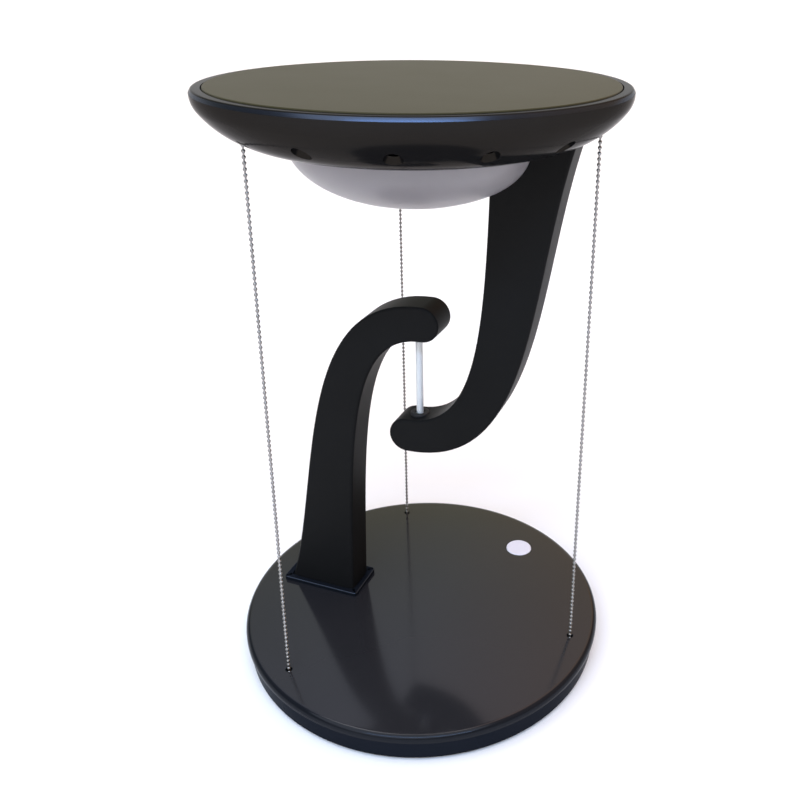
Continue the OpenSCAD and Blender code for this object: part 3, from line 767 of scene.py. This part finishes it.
@dataclass
class BallChain:
    """Chain of small beads on a wire, with a stop at each end, between the base and the head."""

    side: str
    bead: float = 1.5 * MM
    pitch: float = 2 * MM
    wire: float = 0.7 * MM
    stop_high: float = 3 * MM
    low_stop: float = 4.6 * MM
    high_stop: float = 5.2 * MM
    first_bead: float = 12.1 * MM
    stop_soft: float = 0.4 * MM

    def stop(self, bm: Mesh, width: float, low: float) -> None:
        """Adds one stop.

        Args:
            bm: Mesh of the chain.
            width: Diameter of the stop.
            low: Height of its lower face.
        """
        made = bmesh.ops.create_cone(bm, cap_ends=True, segments=28, radius1=width / 2, radius2=width / 2,
                                     depth=self.stop_high,
                                     matrix=Matrix.Translation((0, 0, low + self.stop_high / 2)))["verts"]
        rims = {e for v in made for e in v.link_edges if abs(e.verts[0].co.z - e.verts[1].co.z) < MERGE}
        round_edges(bm, rims, self.stop_soft, 2)

    def build(self) -> None:
        """Strings the beads at the chain's place in the frame."""
        node = f"chain_{self.side}"
        low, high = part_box(node)
        bm = bmesh.new()
        self.stop(bm, self.low_stop, low.z)
        self.stop(bm, self.high_stop, high.z - self.stop_high)
        bmesh.ops.create_cone(bm, cap_ends=False, segments=8, radius1=self.wire / 2, radius2=self.wire / 2,
                              depth=high.z - low.z - 2 * self.stop_high,
                              matrix=Matrix.Translation((0, 0, (low.z + high.z) / 2)))
        count = int((high.z - self.stop_high - self.first_bead) / self.pitch)
        for i in range(count + 1):
            bmesh.ops.create_uvsphere(bm, u_segments=8, v_segments=6, radius=self.bead / 2,
                                      matrix=Matrix.Translation((0, 0, self.first_bead + i * self.pitch)))
        middle = (low + high) / 2
        bmesh.ops.translate(bm, verts=bm.verts, vec=(middle.x, middle.y, 0))
        Piece(f"{self.side}_beads", f"{self.side}_chain", CHAIN_NICKEL, (node,), math.radians(60)).settle(bm)


@dataclass
class Base:
    """Round weighted foot of the lamp: cover, tray, feet, collar and push button."""

    cover_round: float = 2.4 * MM
    cover_thick: float = 2.4 * MM
    cover_edge: float = 3 * MM
    lip_thick: float = 1.5 * MM
    lip_high: float = 2 * MM
    fit: float = 0.25 * MM
    slip: float = 0.15 * MM
    tray_draft: float = 1.2 * MM
    tray_soft: float = 0.8 * MM
    tray_wall: float = 2.4 * MM
    tray_floor: float = 2.4 * MM
    chain_hole: float = 1.5 * MM
    chain_ring: float = 70 * MM
    foot: float = 7 * MM
    foot_ring: float = 64 * MM
    foot_sink: float = 0.6 * MM
    foot_soft: float = 0.5 * MM
    foot_hollow: Point = (0.6, 0.7)
    screw_head: float = 2.85 * MM
    screw_sink: float = 1.35 * MM
    boss_ring: float = 66 * MM
    arm_screws: tuple[float, float] = (-39.4 * MM, -57.6 * MM)
    inlet_wide: float = 9.3 * MM
    inlet_high: float = 3.5 * MM
    inlet_middle: float = 8 * MM
    inlet_round: float = 0.45
    collar_rim: float = 2.6 * MM
    collar_soft: float = 1.5 * MM
    collar_edge: float = 0.35 * MM
    button: float = 6.25 * MM
    button_soft: float = 0.6 * MM
    button_dish: float = 0.12 * MM
    button_stem: float = 2.2 * MM
    button_deep: float = 2.75 * MM
    button_flange: float = 1.1 * MM
    chain_angles: tuple[float, ...] = (0, 120, 240)
    foot_angles: tuple[float, ...] = (45, 135, 225, 315)
    boss_angles: tuple[float, ...] = (30, 150, 210, 330)

    def cover(self) -> None:
        """Spins the glossy cover, drills it for the chains and the button, and paints shade on its rounded
        edge and side.
        """
        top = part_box("base_cover")[1]
        rim = top.z - self.cover_edge
        under = top.z - self.cover_thick
        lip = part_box("base_tray")[1].x - self.tray_wall - self.fit
        profile = [(0, top.z), (top.x / 2, top.z)]
        profile += arc((top.x - self.cover_round, top.z - self.cover_round), self.cover_round, 90, 0, 10)
        inside = lip - self.lip_thick
        lip_end = rim - self.lip_high
        profile += [(top.x, rim), (lip, rim), (lip, lip_end), (inside, lip_end), (inside, under), (0, under)]
        chains = ring_places(self.chain_ring, self.chain_angles)
        holes = [rod(self.chain_hole, 0, 2 * top.z, p) for p in chains]
        holes.append(rod(self.button + self.slip, 0, 2 * top.z, self.button_middle(), 72))
        bm = carve(revolve(profile, 192), holes)
        bm.normal_update()
        # Faces of the rounded edge and side get the darker copy of the gloss, which is painted shade.
        for face in bm.faces:
            face.material_index = int(face.normal.z < 0.97 and face.calc_center_median().xy.length > lip)
        Piece("glossy_cover", "base", COVER_GLOSS, ("base_cover",)).settle(bm, COVER_PAINTED_SHADE)

    def button_middle(self) -> Point:
        """Gives the place of the button."""
        low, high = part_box("switch_button")
        return ((low.x + high.x) / 2, (low.y + high.y) / 2)

    def tray(self) -> None:
        """Spins the tray and cuts its inlet, its foot recesses and its screw seats."""
        low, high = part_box("base_tray")
        floor = low.z + self.tray_floor
        foot = high.x - self.tray_draft
        inside = high.x - self.tray_wall
        profile = [(0, low.z), (foot / 2, low.z)]
        profile += arc((foot - self.tray_soft, low.z + self.tray_soft), self.tray_soft, 270, 360, 5)
        profile += [(high.x, high.z), (inside, high.z), (inside, floor), (0, floor)]
        holes = [rod(self.foot + self.slip, 0, low.z + self.foot_sink, p)
                 for p in ring_places(self.foot_ring, self.foot_angles)]
        seats = [*ring_places(self.boss_ring, self.boss_angles), *((x, 0.0) for x in self.arm_screws)]
        holes += [rod(self.screw_head, 0, low.z + self.screw_sink, p) for p in seats]
        holes.append(self.inlet_slot(high.x))
        bm = carve(revolve(profile, 192), holes)
        Piece("satin_tray", "base", TRAY_SATIN, ("base_tray",)).settle(bm)

    def inlet_slot(self, reach: float) -> Mesh:
        """Makes the shape of the inlet's slot.

        Args:
            reach: Distance of the tray's wall from the middle.

        Returns:
            A mesh to cut with.
        """
        bm = bmesh.new()
        bmesh.ops.create_cube(bm, size=1.0)
        bmesh.ops.scale(bm, verts=bm.verts, vec=(4 * self.tray_wall, self.inlet_wide, self.inlet_high))
        long_edges = [e for e in bm.edges if abs(e.verts[0].co.x - e.verts[1].co.x) > MERGE]
        round_edges(bm, long_edges, self.inlet_round * self.inlet_high, 6)
        bmesh.ops.translate(bm, verts=bm.verts, vec=(-reach, 0, self.inlet_middle))
        return bm

    def feet(self) -> None:
        """Spins one rubber foot with a shallow hollow under it, and repeats it."""
        low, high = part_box("base_feet")
        soft = self.foot_soft
        hollow = [share * self.foot for share in self.foot_hollow]
        profile = [(0, low.z + soft), (hollow[0], low.z + soft), (hollow[1], low.z)]
        profile += arc((self.foot - soft, low.z + soft), soft, 270, 360, 4)
        profile += [(self.foot, high.z), (0, high.z)]
        bm = revolve(profile, 48)
        copies(bm, ring_places(self.foot_ring, self.foot_angles))
        Piece("rubber_feet", "base", FOOT_RUBBER, ("base_feet",)).settle(bm)

    def collar(self) -> None:
        """Makes the frame round the arm's foot, with a painted highlight on its rounded top edges."""
        low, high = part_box("arm_collar")
        bm = bmesh.new()
        bmesh.ops.create_cube(bm, size=1.0)
        bmesh.ops.scale(bm, verts=bm.verts, vec=high - low)
        corners = [e for e in bm.edges if abs(e.verts[0].co.z - e.verts[1].co.z) > MERGE]
        round_edges(bm, corners, self.collar_soft, 6)
        top = max(bm.faces, key=lambda f: f.calc_center_median().z)
        bmesh.ops.inset_region(bm, faces=[top], thickness=self.collar_rim, use_even_offset=True,
                               use_boundary=True)
        rims = [e for e in bm.edges if all(v.co.z > 0 for v in e.verts)
                and (top in e.link_faces or any(abs(f.normal.z) < 0.5 for f in e.link_faces))]
        sunk = bmesh.ops.extrude_face_region(bm, geom=[top])["geom"]
        bmesh.ops.translate(bm, verts=points_of(sunk), vec=(0, 0, self.fit - (high.z - low.z)))
        bmesh.ops.delete(bm, geom=[top], context="FACES_ONLY")
        round_edges(bm, (e for e in rims if e.is_valid), self.collar_edge, 3)
        bmesh.ops.translate(bm, verts=bm.verts, vec=(low + high) / 2)
        bm.normal_update()
        # Sloping faces of the rounded edges get the glossier blue copy: a painted highlight.
        for face in bm.faces:
            face.material_index = int(0.1 < face.normal.z < 0.99)
        Piece("foot_collar", "base", TRAY_SATIN, ("arm_collar",)).settle(bm, EDGE_PAINTED_GLINT)

    def push_button(self) -> None:
        """Spins the button's cap, a little dished, over the flange that keeps it in."""
        low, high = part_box("switch_button")
        flange = (high.x - low.x) / 2
        stem = self.button_stem
        step = high.z - self.button_deep
        under = step - self.button_flange
        soft = self.button_soft
        profile = [(0, high.z - self.button_dish), (0.75 * self.button, high.z - self.button_dish / 3)]
        profile += arc((self.button - soft, high.z - soft), soft, 90, 0, 6)
        profile += [(self.button, step), (flange, step), (flange, under)]
        profile += [(stem, under), (stem, low.z), (0, low.z)]
        bm = revolve(profile, 72)
        bmesh.ops.translate(bm, verts=bm.verts, vec=(*self.button_middle(), 0))
        Piece("white_button", "button", BUTTON_WHITE, ("switch_button",)).settle(bm)

    def build(self) -> None:
        """Makes every visible piece of the base."""
        self.cover()
        self.tray()
        self.feet()
        self.collar()
        self.push_button()


@dataclass
class LampHead:
    """Shallow bowl with a charging plate in its top and an opal dome below."""

    arm: HookedArm
    bowl_round: float = 34.5 * MM
    rim_round: float = 9 * MM
    lip_angle: float = 78
    blend_angle: float = 37
    wall: float = 2.2 * MM
    rim_soft: float = 1.6 * MM
    rim_flat: Point = (5, 55)
    rim_drop: float = 0.4 * MM
    plate_high: float = 2 * MM
    plate_gap: float = 0.5 * MM
    plate_soft: float = 0.4 * MM
    ledge: float = 2 * MM
    dome: float = 48.2 * MM
    dome_deep: float = 24.7 * MM
    dome_wall: float = 1.8 * MM
    dome_flange: float = 3.1 * MM
    dome_rim: float = 1.5 * MM
    fit: float = 0.3 * MM
    vent: float = 3.1 * MM
    vent_ring: float = 71 * MM
    vent_places: int = 15
    chain_hole: float = 2 * MM
    chain_ring: float = 70 * MM
    arm_room: float = 0.25 * MM

    def bowl(self) -> None:
        """Spins the bowl from one long curve and one tight one, cuts its vents, holes and slot, and gives its
        rim's facet a painted highlight.
        """
        low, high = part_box("head_bowl")
        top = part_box("charge_plate")[1]
        step = self.bowl_round - self.rim_round
        rise = low.z + self.bowl_round * math.sin(math.radians(self.lip_angle))
        blend = math.radians(self.blend_angle)
        rim_at = (high.x - self.rim_round, rise - step * math.sin(blend))
        bowl_at = (rim_at[0] - step * math.cos(blend), rise)
        rim_top = top.z - self.rim_drop
        ledge_z = top.z - self.plate_high
        groove = top.x + self.plate_gap
        inner = self.bowl_round - self.wall
        inside = low.z + self.wall
        turn_high = -math.degrees(math.acos((top.x - self.ledge - bowl_at[0]) / inner))
        turn_low = -math.degrees(math.asin((rise - inside) / inner))
        lip = self.dome + self.fit
        profile = [(lip, low.z), *arc(bowl_at, self.bowl_round, -self.lip_angle, -self.blend_angle, 20)]
        profile += arc(rim_at, self.rim_round, -self.blend_angle, 0, 10)[1:]
        soft_at = (high.x - self.rim_soft, rim_top - self.rim_soft)
        profile += arc(soft_at, self.rim_soft, 0, self.rim_flat[0], 2)
        profile += arc(soft_at, self.rim_soft, self.rim_flat[1], 90, 4)
        profile += [(groove, rim_top), (groove, ledge_z), (top.x - self.ledge, ledge_z)]
        profile += [*arc(bowl_at, inner, turn_high, turn_low, 16), (lip, inside)]
        every = 360 / self.vent_places
        vents = [i * every for i in range(self.vent_places) if i % (self.vent_places // 3)]
        chains = [i * every for i in range(0, self.vent_places, self.vent_places // 3)]
        holes = [rod(self.vent, 0, ledge_z, p) for p in ring_places(self.vent_ring, vents)]
        holes += [rod(self.chain_hole, 0, ledge_z, p, 24) for p in ring_places(self.chain_ring, chains)]
        bm = carve(revolve(profile, 240, closed=True), holes)
        bm = carve(bm, [self.arm.slot(self.arm_room)])
        bm.normal_update()
        # Faces of the rim's facet get the glossier blue copy, a painted highlight.
        flat = [math.sin(math.radians(a)) for a in self.rim_flat]
        for face in bm.faces:
            high_up = face.calc_center_median().z > rim_at[1]
            face.material_index = int(flat[0] < face.normal.z < flat[1] and high_up)
        Piece("satin_bowl", "head", BOWL_SATIN, ("head_bowl",)).settle(bm, EDGE_PAINTED_GLINT)

    def plate(self) -> None:
        """Spins the charging plate with a soft edge. Its olive colour holds a painted reflection."""
        low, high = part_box("charge_plate")
        profile = [(0, high.z), (0.5 * high.x, high.z)]
        profile += arc((high.x - self.plate_soft, high.z - self.plate_soft), self.plate_soft, 90, 0, 5)
        profile += [(high.x, low.z), (0, low.z)]
        Piece("matt_plate", "head", PLATE_MATT_PAINTED_REFLECTION, ("charge_plate",)).settle(revolve(profile, 192))

    def opal_dome(self) -> None:
        """Spins the dome's oval shell with its rim, and cuts it for the arm. Its grey is darkened with
        painted shade.
        """
        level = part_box("head_bowl")[0].z
        inside = level + self.wall
        count = 28
        turns = [math.pi / 2 * i / count for i in range(count + 1)]
        outer = [(self.dome * math.sin(a), level - self.dome_deep * math.cos(a)) for a in turns]
        slim, shallow = self.dome - self.dome_wall, self.dome_deep - self.dome_wall
        hollow = [(slim * math.sin(a), level - shallow * math.cos(a)) for a in reversed(turns)]
        rim = self.dome + self.dome_flange
        profile = [*outer, (self.dome, inside), (rim, inside), (rim, inside + self.dome_rim),
                   (slim, inside + self.dome_rim), *hollow]
        bm = carve(revolve(profile, 144), [self.arm.slot(self.arm_room)])
        Piece("opal_shell", "head", DOME_OPAL_PAINTED_SHADE, ("light_dome",)).settle(bm)

    def build(self) -> None:
        """Makes every visible piece of the head."""
        self.bowl()
        self.plate()
        self.opal_dome()


@dataclass
class Studio:
    """Pale floor, soft light and the camera that sees the lamp as it was photographed."""

    floor_size: float = 60.0
    floor_gap: float = 0.2 * MM
    floor_colour: Colour = (0.93, 0.93, 0.93)
    floor_rough: float = 0.9
    floor_gloss: float = 0.1
    front_to_back: Stops = (
        (-1.0, (0.10, 0.11, 0.13)), (-0.3, (0.16, 0.165, 0.18)),
        (0.2, (0.7, 0.63, 0.52)), (1.0, (1.0, 0.9, 0.68)))
    left_to_right: Stops = (
        (-1.0, (0.5, 0.7, 1.0)), (-0.3, (0.85, 1.06, 1.45)),
        (0.25, (1.22, 0.93, 0.74)), (1.0, (1.0, 0.64, 0.36)))
    low_to_high: Stops = (
        (0.3, (0.7, 0.58, 0.36)), (0.4, (0.72, 0.62, 0.44)),
        (0.6, (0.9, 0.83, 0.76)), (1.0, (1.3, 1.22, 1.4)))
    horizon: Colour = (1.0, 1.0, 1.0)
    horizon_ends: Stops = ((0.2, (0.0, 0.0, 0.0)), (0.3, (1.0, 1.0, 1.0)))
    sun: float = 2.8
    sun_spread: float = 70
    sun_lean: float = 28
    window_size: Point = (1.6, 0.14)
    window_power: float = 17.0
    window_colour: Colour = (0.32, 0.58, 1.0)
    window_at: tuple[float, float, float] = (0.4, -1.1, 1.5)
    window_aim: tuple[float, float, float] = (0.0, 0.0, 0.2)
    camera_at: tuple[float, float, float] = (0.13340, -0.30583, 0.28753)
    pan: float = 19.74
    tilt: float = 68.24
    roll: float = 0.527
    lens: float = 39.774
    shift: Point = (-0.0920, -0.1043)

    def floor(self) -> None:
        """Lays the floor just under the feet."""
        bm = bmesh.new()
        bmesh.ops.create_grid(bm, x_segments=1, y_segments=1, size=self.floor_size / 2,
                              matrix=Matrix.Translation((0, 0, -self.floor_gap)))
        ground = shown("floor", bm)
        paint = bpy.data.materials.new("floor_paint")
        paint.use_nodes = True
        shader = paint.node_tree.nodes["Principled BSDF"]
        shader.inputs["Base Color"].default_value = (*self.floor_colour, 1.0)
        shader.inputs["Roughness"].default_value = self.floor_rough
        shader.inputs["Specular IOR Level"].default_value = self.floor_gloss
        ground.data.materials.append(paint)

    def room(self) -> None:
        """Surrounds the lamp with soft light, pale low down and above that warm behind and dim in front."""
        world = bpy.data.worlds.new("room")
        bpy.context.scene.world = world
        world.use_nodes = True
        tree = world.node_tree
        parts = tree.nodes.new("ShaderNodeSeparateXYZ")
        tree.links.new(tree.nodes.new("ShaderNodeTexCoord").outputs["Generated"], parts.inputs["Vector"])
        level = self.product(tree, self.fade(tree, parts.outputs["Y"], self.front_to_back),
                             self.fade(tree, parts.outputs["X"], self.left_to_right))
        light = self.product(tree, level, self.fade(tree, parts.outputs["Z"], self.low_to_high))
        pale = tree.nodes.new("ShaderNodeMix")
        pale.data_type = "RGBA"
        pale.inputs["A"].default_value = (*self.horizon, 1.0)
        tree.links.new(self.fade(tree, parts.outputs["Z"], self.horizon_ends), pale.inputs["Factor"])
        tree.links.new(light, pale.inputs["B"])
        tree.links.new(pale.outputs["Result"], tree.nodes["Background"].inputs["Color"])

    def product(self, tree: Tree, first: Socket, second: Socket) -> Socket:
        """Multiplies two colours.

        Args:
            tree: Node tree of the room.
            first: One colour.
            second: The other colour.

        Returns:
            The product.
        """
        node = tree.nodes.new("ShaderNodeMix")
        node.data_type = "RGBA"
        node.blend_type = "MULTIPLY"
        node.inputs["Factor"].default_value = 1.0
        tree.links.new(first, node.inputs["A"])
        tree.links.new(second, node.inputs["B"])
        return node.outputs["Result"]

    def fade(self, tree: Tree, way: Socket, stops: Stops) -> Socket:
        """Adds a run of colours across the room.

        Args:
            tree: Node tree of the room.
            way: How far a direction points along the run, from -1 to 1.
            stops: Places on the run, from -1 to 1, and their colours.

        Returns:
            The colour.
        """
        spread = tree.nodes.new("ShaderNodeMapRange")
        spread.inputs["From Min"].default_value = -1.0
        tree.links.new(way, spread.inputs["Value"])
        ramp = tree.nodes.new("ShaderNodeValToRGB")
        steps = ramp.color_ramp.elements
        while len(steps) < len(stops):
            steps.new(1.0)
        for step, (place, colour) in zip(steps, stops):
            step.position = (place + 1) / 2
            step.color = (*colour, 1.0)
        tree.links.new(spread.outputs["Result"], ramp.inputs["Fac"])
        return ramp.outputs["Color"]

    def lamps(self) -> None:
        """Adds one wide soft sun and a long window in front."""
        sun = bpy.data.lights.new("soft_sun", "SUN")
        sun.energy = self.sun
        sun.angle = math.radians(self.sun_spread)
        self.hang("soft_sun", sun, Matrix.Rotation(math.radians(self.sun_lean), 4, "X"))
        window = bpy.data.lights.new("front_window", "AREA")
        window.shape = "RECTANGLE"
        window.size, window.size_y = self.window_size
        window.energy = self.window_power
        window.color = self.window_colour
        place = Vector(self.window_at)
        turn = (place - Vector(self.window_aim)).to_track_quat("Z", "Y").to_matrix().to_4x4()
        self.hang("front_window", window, Matrix.Translation(place) @ turn)

    def hang(self, name: str, light: bpy.types.Light, place: Matrix) -> None:
        """Puts a light in the scene.

        Args:
            name: Name of the light's object.
            light: The light.
            place: Where it hangs and where it points.
        """
        made = bpy.data.objects.new(name, light)
        bpy.context.scene.collection.objects.link(made)
        made.matrix_world = place

    def camera(self) -> None:
        """Sets the camera at the photograph's viewing angle."""
        lens = bpy.data.cameras.new("camera")
        lens.sensor_width = 36.0
        lens.lens = self.lens
        lens.shift_x, lens.shift_y = self.shift
        lens.clip_start = 0.01
        eye = bpy.data.objects.new("camera", lens)
        bpy.context.scene.collection.objects.link(eye)
        turn = (Matrix.Rotation(math.radians(self.pan), 4, "Z")
                @ Matrix.Rotation(math.radians(self.tilt), 4, "X")
                @ Matrix.Rotation(math.radians(self.roll), 4, "Z"))
        eye.matrix_world = Matrix.Translation(self.camera_at) @ turn
        bpy.context.scene.camera = eye

    def build(self) -> None:
        """Sets the whole stage."""
        bpy.context.scene.view_settings.view_transform = "Standard"
        self.floor()
        self.room()
        self.lamps()
        self.camera()


@dataclass
class Lamp:
    """The whole lamp: base, head, the two arms, the cord between them and the chains."""

    middle: float = 128.1 * MM
    frame_level: float = 233.5 * MM
    gap: float = 18.1 * MM
    cord_route: tuple[Point, ...] = (
        (-48.5, -121.7), (-48.5, -107), (-48.5, -93), (-47.5, -82), (-45, -66), (-41.5, -44),
        (-38, -22), (-33, 0), (-27, 12), (-20, 20), (-12, 25.4), (-5, 27.8), (-1.5, 27), (0, 24),
        (0, 18), (0, 6), (0, -8), (0, -24.2))
    lead_route: tuple[Point, ...] = (
        (0, -24.2), (0, -25.6), (1.4, -27.2), (5, -28), (12, -25.6), (20, -20.2), (27, -12),
        (33, 0), (38, 22), (41.5, 40), (45, 58), (47.5, 74), (48.5, 84), (48.5, 98), (48.5, 109.4))
    chain_sides: tuple[str, ...] = ("right", "back", "left")

    def build(self) -> None:
        """Makes every visible piece of the lamp."""
        base_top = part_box("arm_collar")[0].z
        base_arm = HookedArm(Hold.BASE, self.middle, self.middle - base_top)
        head_arm = HookedArm(Hold.HEAD, self.middle, self.frame_level - self.middle)
        Base().build()
        base_arm.build()
        LampHead(head_arm).build()
        head_arm.build()
        Grommet("upper_grommet", "base", self.middle + self.gap, -1).build()
        Grommet("lower_grommet", "head", self.middle - self.gap, 1).build()
        Cable("cord", "base", self.cord_route, self.middle).build()
        Cable("head_lead", "head", self.lead_route, self.middle).build()
        for side in self.chain_sides:
            BallChain(side).build()


def dress_inner(nodes: dict[str, bpy.types.Object]) -> None:
    """Gives the frame's own pieces their finish.

    Args:
        nodes: The frame's objects by name.
    """
    for name, finish in INNER_FINISHES.items():
        nodes[name].data.materials.clear()
        nodes[name].data.materials.append(finish.material())
        LOG.info("%s: dressed with %s", name, finish.slot)


def main() -> None:
    """Loads the frame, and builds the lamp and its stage."""
    logging.basicConfig(level=logging.INFO, format="%(name)s: %(message)s")
    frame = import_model()
    Lamp().build()
    dress_inner(frame["nodes"])
    Studio().build()


if __name__ == "__main__":
    main()
